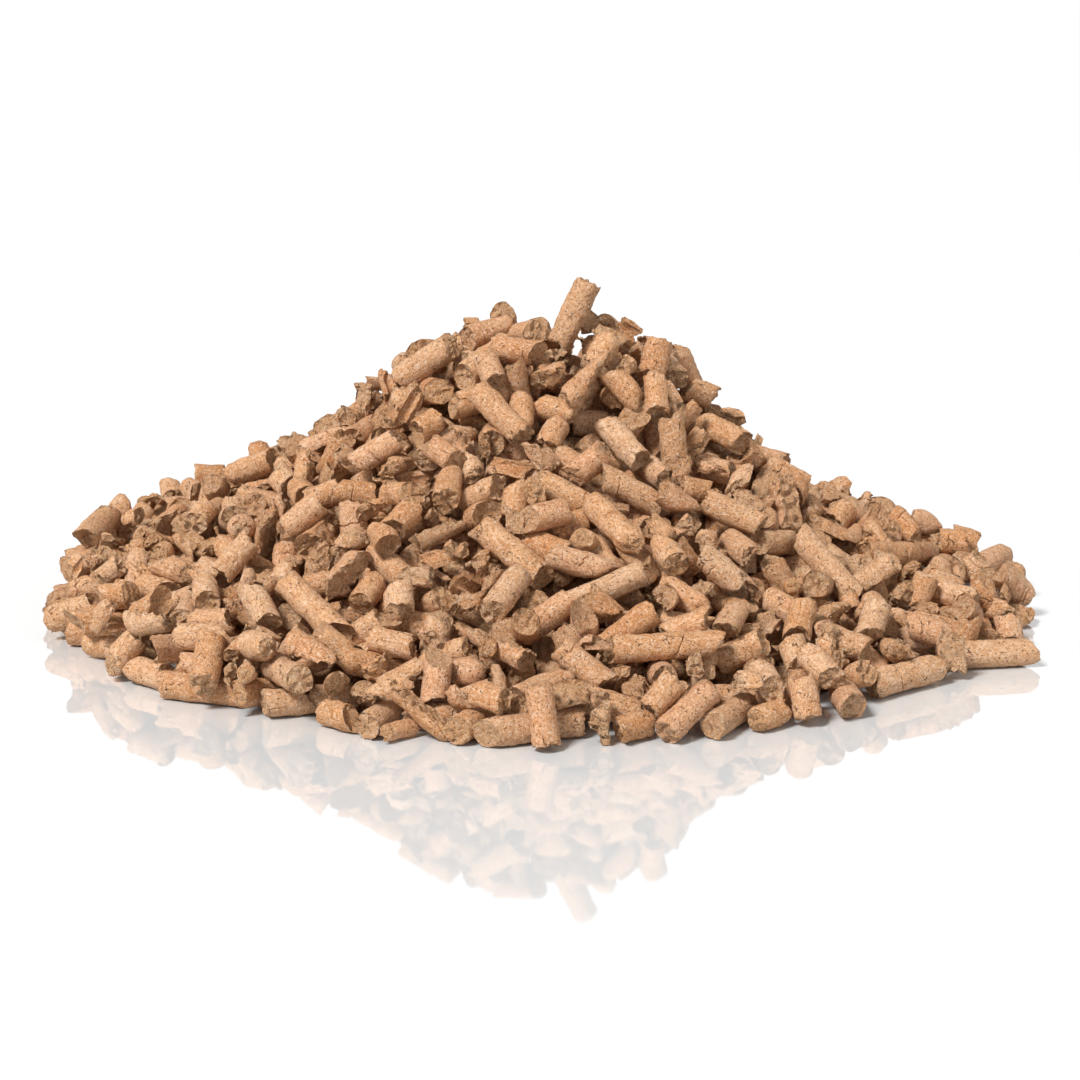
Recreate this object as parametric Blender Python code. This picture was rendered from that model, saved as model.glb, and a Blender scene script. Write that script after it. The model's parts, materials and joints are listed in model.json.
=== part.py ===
"""A heap of pressed-wood cat litter pellets, poured out on a flat surface.

The heap is a packed body, which holds the pellets that lie in and on each other, and the
rim pellets, which lie one by one on the surface around the body's foot.
Units are metres, +Z is up, and the origin is at the middle of the heap's footprint.
"""

import math
import random

import bmesh
import bpy
import numpy as np
from mathutils import Matrix, Vector

# Driving dimensions.
PELLET_RADIUS = 0.003
SHORTEST = 0.0065
LONGEST = 0.0215
MOUND_HEIGHT = 0.0618
MOUND_RADIUS = 0.090
APEX_OFFSET = 0.0045
RIDGE = 0.012
RIPPLE = 0.03
FLOOR_GAP = 0.0004
GAP = 0.0008
SEED = 5

# The mound's outline, which is fuller on its left (-X) side than on its right: a share of
# MOUND_RADIUS, and the left and right heights there as shares of MOUND_HEIGHT.
OUTLINE = (
    (0.06, 1.00, 1.00),
    (0.16, 0.945, 0.915),
    (0.27, 0.87, 0.775),
    (0.40, 0.735, 0.60),
    (0.54, 0.585, 0.455),
    (0.68, 0.48, 0.325),
    (0.82, 0.385, 0.205),
    (0.94, 0.27, 0.135),
    (1.00, 0.12, 0.06),
)
MOUND_SIDES = 30

# Pellets that show on the packed body.
SURFACE_COUNT = 270
SURFACE_SIDES = 6
SURFACE_CHOICES = 14
SUNK = 0.0005
MOST_LEAN = math.radians(26)

# The pellet that stands out of the top, leaning over.
PEAK_SPOT = Vector((0.008, 0.0, 0.0635))
PEAK_LENGTH = 0.015
PEAK_LEAN = math.radians(25)

# The separate pellets on the surface around the foot.
RIM_COUNT = 42
RIM_SIDES = 10
RIM_REACH = 0.102
RIM_TRIES = 400
RIM_CHOICES = 40
AXIS_STEP = 0.001

WOOD_COLOUR = (0.56, 0.33, 0.18, 1.0)
WOOD_ROUGHNESS = 0.75


def clear_scene():
    for obj in list(bpy.data.objects):
        bpy.data.objects.remove(obj, do_unlink=True)


def new_collection(name, hidden=False):
    collection = bpy.data.collections.new(name)
    bpy.context.scene.collection.children.link(collection)
    collection.hide_render = hidden
    return collection


def new_object(name, mesh, collection, place=None):
    obj = bpy.data.objects.new(name, mesh)
    collection.objects.link(obj)
    if place is not None:
        obj.matrix_world = place
    return obj


def wood_material():
    material = bpy.data.materials.new("pressed_wood")
    material.use_nodes = True
    shader = material.node_tree.nodes["Principled BSDF"]
    shader.inputs["Base Color"].default_value = WOOD_COLOUR
    shader.inputs["Roughness"].default_value = WOOD_ROUGHNESS
    shader.inputs["Metallic"].default_value = 0.0
    material.diffuse_color = WOOD_COLOUR
    return material


# The mound: rings that shrink, slide and lengthen towards a short ridge at the top.


def outline_height(share, around):
    """The mound's height at a share of the foot's radius, in a direction from its middle."""
    shares, lefts, rights = zip(*OUTLINE)
    leftness = 0.5 - 0.5 * math.cos(around)
    left = np.interp(share, shares, lefts)
    right = np.interp(share, shares, rights)
    return MOUND_HEIGHT * float(right + (left - right) * leftness)


def mound_point(share, around):
    """A point of the mound's surface, by share of the foot's radius and angle around."""
    height = outline_height(share, around)
    rise = height / MOUND_HEIGHT
    radius = MOUND_RADIUS * share * (1.0 + RIPPLE * rise * math.sin(3.0 * around + 0.7))
    x = (radius + RIDGE * rise**3) * math.cos(around) + APEX_OFFSET * rise
    y = radius * math.sin(around)
    return Vector((x, y, height))


def mound_frame(share, around):
    """The mound's surface at a point, as a matrix: X down the slope, Z out of the surface."""
    step = 0.03
    spot = mound_point(share, around)
    inner = mound_point(max(share - step, 0.0), around)
    outer = mound_point(min(share + step, 1.0), around)
    down = (outer - inner).normalized()
    across = mound_point(share, around + step) - mound_point(share, around - step)
    out = down.cross(across).normalized()
    side = out.cross(down)
    frame = Matrix((down, side, out)).transposed().to_4x4()
    frame.translation = spot
    return frame


def make_mound(collection):
    shape = bmesh.new()
    rings = []
    for share, _, _ in OUTLINE:
        angles = [2 * math.pi * side / MOUND_SIDES for side in range(MOUND_SIDES)]
        rings.append([shape.verts.new(mound_point(share, angle)) for angle in angles])
    foot = [shape.verts.new((vert.co.x, vert.co.y, 0.0)) for vert in rings[-1]]
    rings.append(foot)
    for upper, lower in zip(rings, rings[1:]):
        for side in range(MOUND_SIDES):
            after = (side + 1) % MOUND_SIDES
            shape.faces.new((upper[side], lower[side], lower[after], upper[after]))
    shape.faces.new(rings[0])
    shape.faces.new(reversed(foot))
    bmesh.ops.recalc_face_normals(shape, faces=shape.faces)
    mesh = bpy.data.meshes.new("heap_body")
    shape.to_mesh(mesh)
    shape.free()
    return new_object("heap_body", mesh, collection)


# One pellet.


def pellet_length(rng):
    """Most pellets are short, and a few are up to three times as long."""
    return SHORTEST + (LONGEST - SHORTEST) * rng.random() ** 1.5


def broken_end(rng):
    """How one end is broken: a slanted plane, a dished or domed middle and a ragged rim."""
    return {
        "slant": rng.uniform(0.0, 0.4),
        "turn": rng.uniform(0.0, 2 * math.pi),
        "dish": rng.uniform(-0.3, 0.2) * PELLET_RADIUS,
        "rag": rng.uniform(0.05, 0.2) * PELLET_RADIUS,
    }


def pellet_mesh(name, length, sides, rng):
    """A pellet along X with its middle at the origin and both ends broken."""
    shape = bmesh.new()
    bmesh.ops.create_cone(
        shape,
        cap_ends=True,
        cap_tris=True,
        segments=sides,
        radius1=PELLET_RADIUS,
        radius2=PELLET_RADIUS,
        depth=length,
    )
    ends = {-1: broken_end(rng), 1: broken_end(rng)}
    for vert in shape.verts:
        side = 1 if vert.co.z > 0 else -1
        end = ends[side]
        around = math.atan2(vert.co.y, vert.co.x)
        out = math.hypot(vert.co.x, vert.co.y)
        shift = end["slant"] * (out * math.cos(around - end["turn"]) - 0.5 * PELLET_RADIUS)
        if out < 0.5 * PELLET_RADIUS:
            shift += end["dish"]
        else:
            shift -= rng.random() * end["rag"]
        vert.co.z += side * shift
    quarter_turn = Matrix.Rotation(math.pi / 2, 3, "Y")
    bmesh.ops.rotate(shape, verts=shape.verts, cent=(0, 0, 0), matrix=quarter_turn)
    mesh = bpy.data.meshes.new(name)
    shape.to_mesh(mesh)
    shape.free()
    return mesh


def axis_points(place, length):
    """Points along a placed pellet's axis, one each AXIS_STEP."""
    count = max(2, round(length / AXIS_STEP))
    half = 0.5 * length - 0.5 * PELLET_RADIUS
    start = place @ Vector((-half, 0.0, 0.0))
    end = place @ Vector((half, 0.0, 0.0))
    return np.linspace(np.array(start), np.array(end), count)


def clearance(points, others):
    """The smallest distance from one pellet's axis to the axes of the others."""
    if not others:
        return math.inf
    apart = points[:, None, :] - np.concatenate(others)[None, :, :]
    return float(np.sqrt((apart**2).sum(axis=2)).min())


# The packed body's pellets.


def surface_place(rng):
    """A place half sunk in the mound, along its slope at a random turn and lean."""
    share = math.sqrt(rng.random())
    frame = mound_frame(share, rng.uniform(0.0, 2 * math.pi))
    sunk = Matrix.Translation((0.0, 0.0, -SUNK))
    turn = Matrix.Rotation(rng.uniform(0.0, math.pi), 4, "Z")
    lean = Matrix.Rotation(rng.uniform(-MOST_LEAN, MOST_LEAN), 4, "Y")
    spin = Matrix.Rotation(rng.uniform(0.0, 2 * math.pi), 4, "X")
    return frame @ sunk @ turn @ lean @ spin


def lift_off_floor(mesh, place):
    """The same place, raised where the pellet would reach under the floor."""
    lowest = min((place @ vert.co).z for vert in mesh.vertices)
    too_low = max(FLOOR_GAP - lowest, 0.0)
    return Matrix.Translation((0.0, 0.0, too_low)) @ place


def make_surface_pellets(collection, rng):
    """Spreads pellets over the mound, each where it's clearest of those before it."""
    taken = []
    for index in range(SURFACE_COUNT):
        length = pellet_length(rng)
        choices = [surface_place(rng) for _ in range(SURFACE_CHOICES)]
        place = max(choices, key=lambda choice: clearance(axis_points(choice, length), taken))
        name = f"surface_pellet_{index:03d}"
        mesh = pellet_mesh(name, length, SURFACE_SIDES, rng)
        place = lift_off_floor(mesh, place)
        new_object(name, mesh, collection, place)
        taken.append(axis_points(place, length))
    return taken


def make_peak_pellet(collection, rng):
    """The pellet that stands out of the heap's top."""
    mesh = pellet_mesh("peak_pellet", PEAK_LENGTH, SURFACE_SIDES, rng)
    upright = Matrix.Rotation(PEAK_LEAN - math.pi / 2, 4, "Y")
    new_object("peak_pellet", mesh, collection, Matrix.Translation(PEAK_SPOT) @ upright)


def join_objects(objects, name, collection):
    """One mesh object of all these, in place."""
    joined = bmesh.new()
    for obj in objects:
        piece = obj.data.copy()
        piece.transform(obj.matrix_world)
        joined.from_mesh(piece)
        bpy.data.meshes.remove(piece)
        bpy.data.objects.remove(obj)
    mesh = bpy.data.meshes.new(name)
    joined.to_mesh(mesh)
    joined.free()
    return new_object(name, mesh, collection)


def shell_from(seed_face):
    """All the faces that hang together with this one."""
    shell = {seed_face}
    edge_of_search = [seed_face]
    while edge_of_search:
        face = edge_of_search.pop()
        for edge in face.edges:
            for neighbour in edge.link_faces:
                if neighbour not in shell:
                    shell.add(neighbour)
                    edge_of_search.append(neighbour)
    return shell


def fill_pockets(body):
    """Keeps a united body's outer shell only, which fills the pockets shut in between pellets."""
    graph = bpy.context.evaluated_depsgraph_get()
    shape = bmesh.new()
    shape.from_mesh(body.evaluated_get(graph).data)
    lowest = min(shape.faces, key=lambda face: face.calc_center_median().z)
    outer = shell_from(lowest)
    pockets = [face for face in shape.faces if face not in outer]
    bmesh.ops.delete(shape, geom=pockets, context="FACES")
    body.modifiers.clear()
    shape.to_mesh(body.data)
    shape.free()


def make_body(parts, helpers, rng):
    """The packed body: the mound and the pellets that show on it, as one solid."""
    body = make_mound(parts)
    taken = make_surface_pellets(helpers, rng)
    make_peak_pellet(helpers, rng)
    bpy.context.view_layer.update()
    pellets = join_objects(list(helpers.objects), "surface_pellets", helpers)
    union = body.modifiers.new("pellets", "BOOLEAN")
    union.operation = "UNION"
    union.solver = "EXACT"
    union.use_self = True
    union.object = pellets
    bpy.context.view_layer.update()
    fill_pockets(body)
    bpy.data.objects.remove(pellets)
    return taken


# The rim pellets.


def rim_place(rng):
    """A place on the floor outside the mound's foot, at a random turn."""
    height = PELLET_RADIUS * math.cos(math.pi / RIM_SIDES)
    nearest = MOUND_RADIUS + PELLET_RADIUS
    distance = rng.uniform(nearest, RIM_REACH)
    spot = Matrix.Translation((distance, 0.0, height))
    around = Matrix.Rotation(rng.uniform(0.0, 2 * math.pi), 4, "Z")
    turn = Matrix.Rotation(rng.uniform(0.0, math.pi), 4, "Z")
    return around @ spot @ turn


def is_clear(points, taken):
    """Whether a pellet on the floor keeps off the mound and all the other pellets."""
    off_mound = np.hypot(points[:, 0], points[:, 1]).min() - MOUND_RADIUS - PELLET_RADIUS
    return off_mound > GAP and clearance(points, taken) > 2 * PELLET_RADIUS + GAP


def make_rim_pellets(parts, taken, rng):
    """Lays pellets on the floor one at a time, each at the nearest of its clear places."""
    low = [points for points in taken if points[:, 2].min() < 4 * PELLET_RADIUS]
    made = 0
    for _ in range(RIM_TRIES):
        if made == RIM_COUNT:
            return
        length = pellet_length(rng)
        choices = [rim_place(rng) for _ in range(RIM_CHOICES)]
        clear = [place for place in choices if is_clear(axis_points(place, length), low)]
        if not clear:
            continue
        place = min(clear, key=lambda choice: choice.translation.length)
        made += 1
        name = f"rim_pellet_{made:02d}"
        new_object(name, pellet_mesh(name, length, RIM_SIDES, rng), parts, place)
        low.append(axis_points(place, length))


def centre_on_origin(parts):
    """Moves everything so that the middle of the heap's footprint is at the origin."""
    bpy.context.view_layer.update()
    graph = bpy.context.evaluated_depsgraph_get()
    corners = [
        obj.matrix_world @ vert.co
        for obj in parts.objects
        for vert in obj.evaluated_get(graph).data.vertices
    ]
    middle_x = 0.5 * (min(c.x for c in corners) + max(c.x for c in corners))
    middle_y = 0.5 * (min(c.y for c in corners) + max(c.y for c in corners))
    for obj in bpy.data.objects:
        obj.location.x -= middle_x
        obj.location.y -= middle_y


def main():
    clear_scene()
    rng = random.Random(SEED)
    parts = new_collection("litter_heap")
    helpers = new_collection("helpers", hidden=True)
    taken = make_body(parts, helpers, rng)
    make_rim_pellets(parts, taken, rng)
    material = wood_material()
    for obj in parts.objects:
        obj.data.materials.append(material)
    centre_on_origin(parts)


main()
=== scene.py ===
"""The looks of a poured heap of wood pellet cat litter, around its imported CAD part.

Each pellet is modelled on its own. The heap's pellets are poured layer by layer with rigid
bodies until they fill the space of the CAD's heap_body, and each CAD rim pellet is replaced
by a detailed one in its own place.
"""

import json
import math
import random
from collections import Counter

import bmesh
import bpy
import numpy as np
from mathutils import Euler, Matrix, Vector
from mathutils.bvhtree import BVHTree

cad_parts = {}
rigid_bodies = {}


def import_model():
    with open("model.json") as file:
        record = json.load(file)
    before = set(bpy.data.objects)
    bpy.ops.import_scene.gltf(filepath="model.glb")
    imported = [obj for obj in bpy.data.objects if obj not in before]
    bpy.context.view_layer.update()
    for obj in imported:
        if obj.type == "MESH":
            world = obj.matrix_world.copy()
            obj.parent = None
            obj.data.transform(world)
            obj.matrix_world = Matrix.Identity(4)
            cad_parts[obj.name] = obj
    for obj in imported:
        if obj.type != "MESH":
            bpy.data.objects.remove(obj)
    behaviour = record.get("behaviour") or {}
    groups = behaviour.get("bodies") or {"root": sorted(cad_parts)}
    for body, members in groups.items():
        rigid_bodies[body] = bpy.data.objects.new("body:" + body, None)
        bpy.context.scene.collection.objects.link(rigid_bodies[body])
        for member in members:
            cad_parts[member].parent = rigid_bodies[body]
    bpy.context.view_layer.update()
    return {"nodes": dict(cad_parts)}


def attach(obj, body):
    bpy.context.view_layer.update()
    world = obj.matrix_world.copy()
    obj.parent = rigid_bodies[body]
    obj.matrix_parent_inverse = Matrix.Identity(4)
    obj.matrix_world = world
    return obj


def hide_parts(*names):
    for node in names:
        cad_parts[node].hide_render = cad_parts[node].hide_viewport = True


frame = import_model()

MM = 0.001
SEED = 23
HEAP_NODE = "heap_body"
RIM_NODES = sorted(name for name in frame["nodes"] if name.startswith("rim_pellet"))
TAU = 2 * math.pi

# Pellets, in millimetres. LENGTH_SPREAD is a factor, and a pellet bends by x * x times its bend.
RADII = (2.55, 2.85)
LENGTHS = (6.0, 7.0, 8.5, 10.0, 12.0, 14.0, 17.0, 21.0)
LENGTH_WEIGHTS = (2.5, 3.5, 3.5, 3.2, 2.4, 1.5, 0.8, 0.3)
KINDS = ("whole", "split", "chunk", "flake")
KIND_WEIGHTS = (0.50, 0.16, 0.25, 0.09)
CHUNK_RADII = (1.6, 2.6)
CHUNK_LENGTHS = (3.5, 7.5)
LENGTH_SPREAD = (0.92, 1.08)
MOST_BEND = 0.004
LUMPS = (0.03, 0.10)

# Breaks along a pellet: depths are shares of its radius, and a flake's thickness is in millimetres.
CUT_COUNTS = {"whole": 0, "split": 1, "chunk": 3, "flake": 0}
CUT_LEANS = {"split": 0.3, "chunk": 1.0}
CUT_DEPTHS = {"split": (-0.1, 0.4), "chunk": (0.2, 0.75)}
FLAKE_SPREAD = (0.5, 0.85)
FLAKE_THICKNESS = (1.0, 1.8)

# Cracks part of the way round: places are shares of the length, widths are angles, and the
# rest is in millimetres.
CRACK_COUNT_WEIGHTS = (0.5, 0.35, 0.15)
CRACK_PLACES = (0.15, 0.85)
CRACK_WIDTHS = (0.7, 2.2)
CRACK_DEPTHS = (0.3, 0.6)
CRACK_HALF_WIDTH = 0.17
CRACK_WANDER = 0.2

# How an end breaks off, in shares of the pellet's radius, and EDGE_WEAR_REACH in millimetres.
# One draw from 0 to 1 makes an end hollow, domed or plain.
MOST_SLANT = 0.7
RIDGE_WEIGHTS = (0.35, 0.65)
FACETS = 2
FACET_STEEPNESS = (0.1, 0.75)
FACET_STARTS = (-0.15, 0.25)
FACET_HEIGHT = 0.9
PLAIN_DISH = (-0.1, 0.08)
HOLLOW_BELOW = 0.4
HOLLOW_DEPTHS = (0.15, 0.4)
DOMED_BELOW = 0.54
DOME_HEIGHTS = (0.1, 0.3)
DOME_ROUNDING = (0.3, 0.9)
RAGGEDNESS = (0.03, 0.13)
TEETH = (2, 3, 5, 7, 9, 11)
EDGE_WEAR = 0.025
EDGE_WEAR_REACH = 0.4
ROUNDING_REACH = 0.8
ROUNDING_DEPTH = 0.45

# Roughness of the surface, in millimetres. A ripple is its size and its wavelength.
WALL_WAVELENGTH = 5.0
WALL_RIPPLE = (0.05, 1.9)
WALL_GRIT = 0.028
END_RIPPLE = (0.2, 1.7)
END_GRIT = 0.13
EDGE_CRUMBLE = 0.35
CUT_RIPPLE = (0.26, 2.2)
CUT_GRIT = 0.12
CUT_FULLY_BROKEN = 0.3

# How far the grain is shifted from pellet to pellet, so that no two look the same.
GRAIN_SHIFTS = (977, 613, 389)
GRAIN_STEP = 0.37

# How finely a pellet is meshed, by how well it is seen: sides, spacing along it, and the
# rings of each end as shares of the radius.
NEAR = (26, 0.62, (0.93, 0.76, 0.52, 0.26))
SEEN = (16, 1.0, (0.9, 0.6, 0.3))
HIDDEN = (8, 5.0, (0.6,))
HIDDEN_BAKE_SCALE = 0.2
BAKE_GAP = 0.35
SHARP_ANGLE = math.radians(30)

# The pour's rigid bodies. It runs a hundred times larger than life.
POUR_SCALE = 100.0
POUR_SIDES = 7
POUR_OVERSIZE = 1.06
LAYERS = 16
SETTLE_FRAMES = 36
LAST_FRAME = 500
SUBSTEPS = 6
SOLVER_STEPS = 12
FRICTION = 1.0
LINEAR_DAMPING = 0.4
ANGULAR_DAMPING = 0.75

# How a pellet is dropped: its tilt in radians, and lengths in the pour's own size.
DROP_TILT = 0.35
DROP_GAP = 0.35
DROP_GAP_SPREAD = 0.5
FEEL_STEP = 0.5
GROUND_SIZE = 30.0
ABOVE_ALL = 100.0

# Where pellets are dropped and which ones are kept, in metres.
SITE_PITCH = 0.0055
SITE_JITTER = 0.002
SITE_GAP = 1.5 * SITE_PITCH
LEAST_DEPTH = 0.0025
FULL_DEPTH = 0.009
ENOUGH_SITES = 14
KEEP_RADIUS = 0.1040
MOST_PROUD = 0.0055
SINK = 0.0043
SINK_FROM = 0.010
TOP_HEIGHT = 0.0635
SMOOTHING = 0.003
RIM_INNER = 0.098
RIM_OUTER = 0.1035
RIM_HEIGHT = 0.0062
RIM_LEFT_EXTRA = 0.008

# The mound under the pellets, in metres, how it is divided, and its waves in radians a metre.
CORE_DEPTH = 0.0125
CORE_RADIUS = 0.086
CORE_RINGS = 40
CORE_TURNS = 120
CORE_LIFT = 0.0002
CORE_LUMP = 0.0008
CORE_WAVES = (900.0, 700.0, 1100.0)
CORE_FINISH = (0.1, 0.5, 1.0)

# Two pellets with given places: where their middle is in metres, which way they point,
# and their length in millimetres. Others keep clear of the one at the peak.
PEAK_SPOT = Vector((0.0070, 0.0, 0.0636))
PEAK_AXIS = Vector((0.43, 0.05, 0.90))
PEAK_LENGTH = 14.0
PEAK_SLANT = 0.8
STANDING_SPOT = Vector((0.0005, -0.1030, 0.0062))
STANDING_AXIS = Vector((-0.13, 0.33, 0.93))
STANDING_LENGTH = 11.0
STANDING_SLANT = 0.12
CLEAR_OF_PEAK = 0.0046
CLEAR_STEPS = 8

# The camera, in metres. At its distance it sees VIEW_HALF_WIDTH to each side.
VIEW_DISTANCE = 0.700
VIEW_ELEVATION = math.radians(13.5)
VIEW_AIM = Vector((0.0, 0.0, 0.0147))
VIEW_HALF_WIDTH = 0.1154
VIEW_ANGLE = 2 * math.atan(VIEW_HALF_WIDTH / VIEW_DISTANCE)

# Rays that find which pellets can be seen: from the camera's side, and from rings of
# (elevation in degrees, directions) all round. RAY_START is in the pour's own size.
RAY_PITCH = 0.0014
RAY_CENTRE = 0.03
RAY_START = 40.0
RAY_MARGIN = 1.1
NEAR_HITS = 5
SEEN_HITS = 14
SEEN_FROM = ((4, 12), (28, 10), (55, 6), (90, 1))
STEEPEST = math.radians(86)
NEARLY_UP = (0.0, -0.001, 1.0)

SECTORS = 24

# The studio: each light's direction, how wide it is in degrees, and its strength.
LIGHTS = {
    "key": ((-0.55, -0.68, 1.0), 16.0, 4.1),
    "fill": ((0.9, -0.5, 0.8), 60.0, 0.4),
}
LIGHT_TARGET = (0.0, 0.0, 0.02)
FLOOR_HALF = 3.0
SKY_FADE = (0.42, 0.5)
SKY_OVERHEAD = 0.22


# How a pellet is shaped: in millimetres, along X, with its middle at the origin.


def ripple(points, rough, wavelength, waves=5):
    """Smooth noise of unit size over the points."""
    total = np.zeros(points.shape[:-1])
    for _ in range(waves):
        wave = rough.normal(0.0, 1.0, 3)
        wave *= TAU / (wavelength * np.linalg.norm(wave))
        total += np.sin(points @ wave + rough.uniform(0.0, TAU))
    return total / math.sqrt(0.5 * waves)


class End:
    """How one end of a pellet is broken off."""

    def __init__(self, rng):
        self.slant = MOST_SLANT * rng.random() ** 1.5
        self.turn = rng.uniform(0.0, TAU)
        self.ridge = rng.choice((-1.0, 1.0)) * rng.choices((0.0, 1.0), RIDGE_WEIGHTS)[0]
        self.facets = [
            (rng.uniform(*FACET_STEEPNESS), rng.uniform(0.0, TAU), rng.uniform(*FACET_STARTS))
            for _ in range(FACETS)
        ]
        self.dish = rng.uniform(*PLAIN_DISH)
        self.rounding = 0.0
        form = rng.random()
        if form < HOLLOW_BELOW:
            self.dish = -rng.uniform(*HOLLOW_DEPTHS)
        elif form < DOMED_BELOW:
            self.dish = rng.uniform(*DOME_HEIGHTS)
            self.rounding = rng.uniform(*DOME_ROUNDING)
        ragged = rng.uniform(*RAGGEDNESS)
        self.teeth = [
            (count, ragged * rng.uniform(-1, 1) * 2.0 / math.sqrt(count), rng.uniform(0.0, TAU))
            for count in TEETH
        ]

    def reach(self, angle, share):
        """How far the end stands out at these angles, as a share of the radius."""
        out = self.slant * share * np.cos(angle - self.turn)
        for steep, turn, start in self.facets:
            plane = self.ridge * (steep * share * np.cos(angle - turn) - start)
            out = out - self.ridge * np.maximum(plane, 0.0) * FACET_HEIGHT
        for count, size, phase in self.teeth:
            out = out + size * share**2 * np.cos(count * angle + phase)
        return out + self.dish * (1.0 - share**2.5)


class Pellet:
    """One pellet: how it is shaped, and where it lies."""

    def __init__(self, rng, length=None, kind=None):
        self.kind = kind or rng.choices(KINDS, KIND_WEIGHTS)[0]
        self.radius = rng.uniform(*RADII)
        self.length = length or rng.choices(LENGTHS, LENGTH_WEIGHTS)[0] * rng.uniform(*LENGTH_SPREAD)
        if self.kind == "chunk":
            self.radius = rng.uniform(*CHUNK_RADII)
        if length is None and self.kind in ("chunk", "flake"):
            self.length = rng.uniform(*CHUNK_LENGTHS)
        self.ends = (End(rng), End(rng))
        self.bend = rng.uniform(-MOST_BEND, MOST_BEND)
        self.lumps = rng.uniform(*LUMPS)
        self.cuts = self.broken_sides(rng)
        self.spread = rng.uniform(*FLAKE_SPREAD)
        self.thickness = rng.uniform(*FLAKE_THICKNESS)
        self.cracks = [
            (rng.uniform(*CRACK_PLACES), rng.uniform(0.0, TAU), rng.uniform(*CRACK_WIDTHS))
            for _ in range(rng.choices((0, 1, 2), CRACK_COUNT_WEIGHTS)[0])
        ]
        self.crack_depth = rng.uniform(*CRACK_DEPTHS)
        self.tone = rng.random()
        self.hue = rng.random()
        self.seed = rng.randrange(1 << 30)
        self.place = Matrix.Identity(4)
        self.detail = HIDDEN
        self.on_floor = False

    def broken_sides(self, rng):
        """The planes that a split pellet or a chunk is broken along: (normal, distance)."""
        planes = []
        for _ in range(CUT_COUNTS[self.kind]):
            angle = rng.uniform(0.0, TAU)
            lean = rng.uniform(-CUT_LEANS[self.kind], CUT_LEANS[self.kind])
            normal = np.array((lean, math.cos(angle), math.sin(angle)))
            depth = rng.uniform(*CUT_DEPTHS[self.kind])
            planes.append((normal / np.linalg.norm(normal), self.radius * depth))
        return planes


def wall_rows(pellet, sides, spacing, rough):
    """Where the rows of the pellet's wall lie along it, and their radius, at each angle."""
    angle = TAU * np.arange(sides) / sides
    rows = max(2, round(pellet.length / spacing))
    start = -0.5 * pellet.length - pellet.radius * pellet.ends[0].reach(angle, 1.0)
    stop = 0.5 * pellet.length + pellet.radius * pellet.ends[1].reach(angle, 1.0)
    along = np.linspace(0.0, 1.0, rows + 1)[:, None]
    x = start * (1.0 - along) + stop * along
    radius = np.full_like(x, pellet.radius)
    for end, gap in ((pellet.ends[0], x - start), (pellet.ends[1], stop - x)):
        worn = EDGE_WEAR + EDGE_WEAR * np.cos(3 * angle + end.turn)
        radius *= 1.0 - worn * np.exp(-gap / EDGE_WEAR_REACH)
        near = np.clip(1.0 - gap / (ROUNDING_REACH * pellet.radius), 0.0, 1.0)
        radius *= 1.0 - ROUNDING_DEPTH * end.rounding * near**2.2
    if sides > HIDDEN[0]:
        open_cracks(pellet, x, radius, angle, rough)
    return angle, x, radius


def open_cracks(pellet, x, radius, angle, rough):
    """Cuts narrow, ragged grooves part of the way round the pellet."""
    rows = len(x) - 1
    for where, middle, width in pellet.cracks:
        row = round(where * rows)
        if row < 2 or row > rows - 2:
            continue
        away = np.abs((angle - middle + math.pi) % TAU - math.pi)
        depth = np.clip(1.0 - away / width, 0.0, 1.0) ** 0.5
        centre = x[row] + rough.normal(0.0, CRACK_WANDER, len(angle)) * depth
        radius[row] -= pellet.crack_depth * depth
        x[row - 1] += (centre - CRACK_HALF_WIDTH - x[row - 1]) * depth
        x[row + 1] += (centre + CRACK_HALF_WIDTH - x[row + 1]) * depth
        x[row] = centre


def section(pellet, x, angle, radius, share):
    """A row of points: round, or a crescent for a flake of a pellet's skin."""
    if pellet.kind == "flake":
        outer = np.cos(angle) >= 0.0
        turned = np.where(outer, angle, math.pi - angle)
        turned = ((turned + math.pi) % TAU - math.pi) * pellet.spread
        reach = np.where(outer, radius, radius - pellet.thickness)
        middle = pellet.radius - 0.5 * pellet.thickness
        y = middle + (reach * np.cos(turned) - middle) * share
        z = reach * np.sin(turned) * share
    else:
        y = radius * share * np.cos(angle)
        z = radius * share * np.sin(angle)
    return np.stack(np.broadcast_arrays(x, y, z), axis=-1)


def pellet_rows(pellet):
    """Rows of points from the middle of one end to the middle of the other.

    Also how broken the surface is at each point, and each row's distance along the profile.
    """
    sides, spacing, shares = pellet.detail
    rough = np.random.default_rng(pellet.seed)
    angle, x, radius = wall_rows(pellet, sides, spacing, rough)
    rows = [section(pellet, x[row], angle, radius[row], 1.0) for row in range(len(x))]
    broken = [np.zeros(sides) for _ in rows]
    broken[0] = broken[-1] = np.full(sides, 0.5)
    whole = 2 * pellet.radius + pellet.length
    profile = list(pellet.radius + np.linspace(0.0, pellet.length, len(rows)))
    edges = {-1.0: radius[0], 1.0: radius[-1]}
    for share in (*shares, 0.0):
        for end, sign in zip(pellet.ends, (-1.0, 1.0)):
            depth = sign * (0.5 * pellet.length + pellet.radius * end.reach(angle, share))
            ring = section(pellet, depth, angle, edges[sign], share)
            at = 0 if sign < 0 else len(rows)
            rows.insert(at, ring)
            broken.insert(at, np.ones(sides))
            profile.insert(at, pellet.radius * share if sign < 0 else whole - pellet.radius * share)
    points = np.array(rows)
    broken = np.array(broken)
    if sides > HIDDEN[0]:
        points = roughen(pellet, points, broken, rough)
    points, broken = cut_sides(pellet, points, broken, rough)
    if pellet.kind == "flake":
        points[..., 1] -= pellet.radius - 0.5 * pellet.thickness
    points[..., 2] += pellet.bend * points[..., 0] ** 2
    points[0] = points[0].mean(axis=0)
    points[-1] = points[-1].mean(axis=0)
    return points, broken, np.array(profile)


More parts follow.
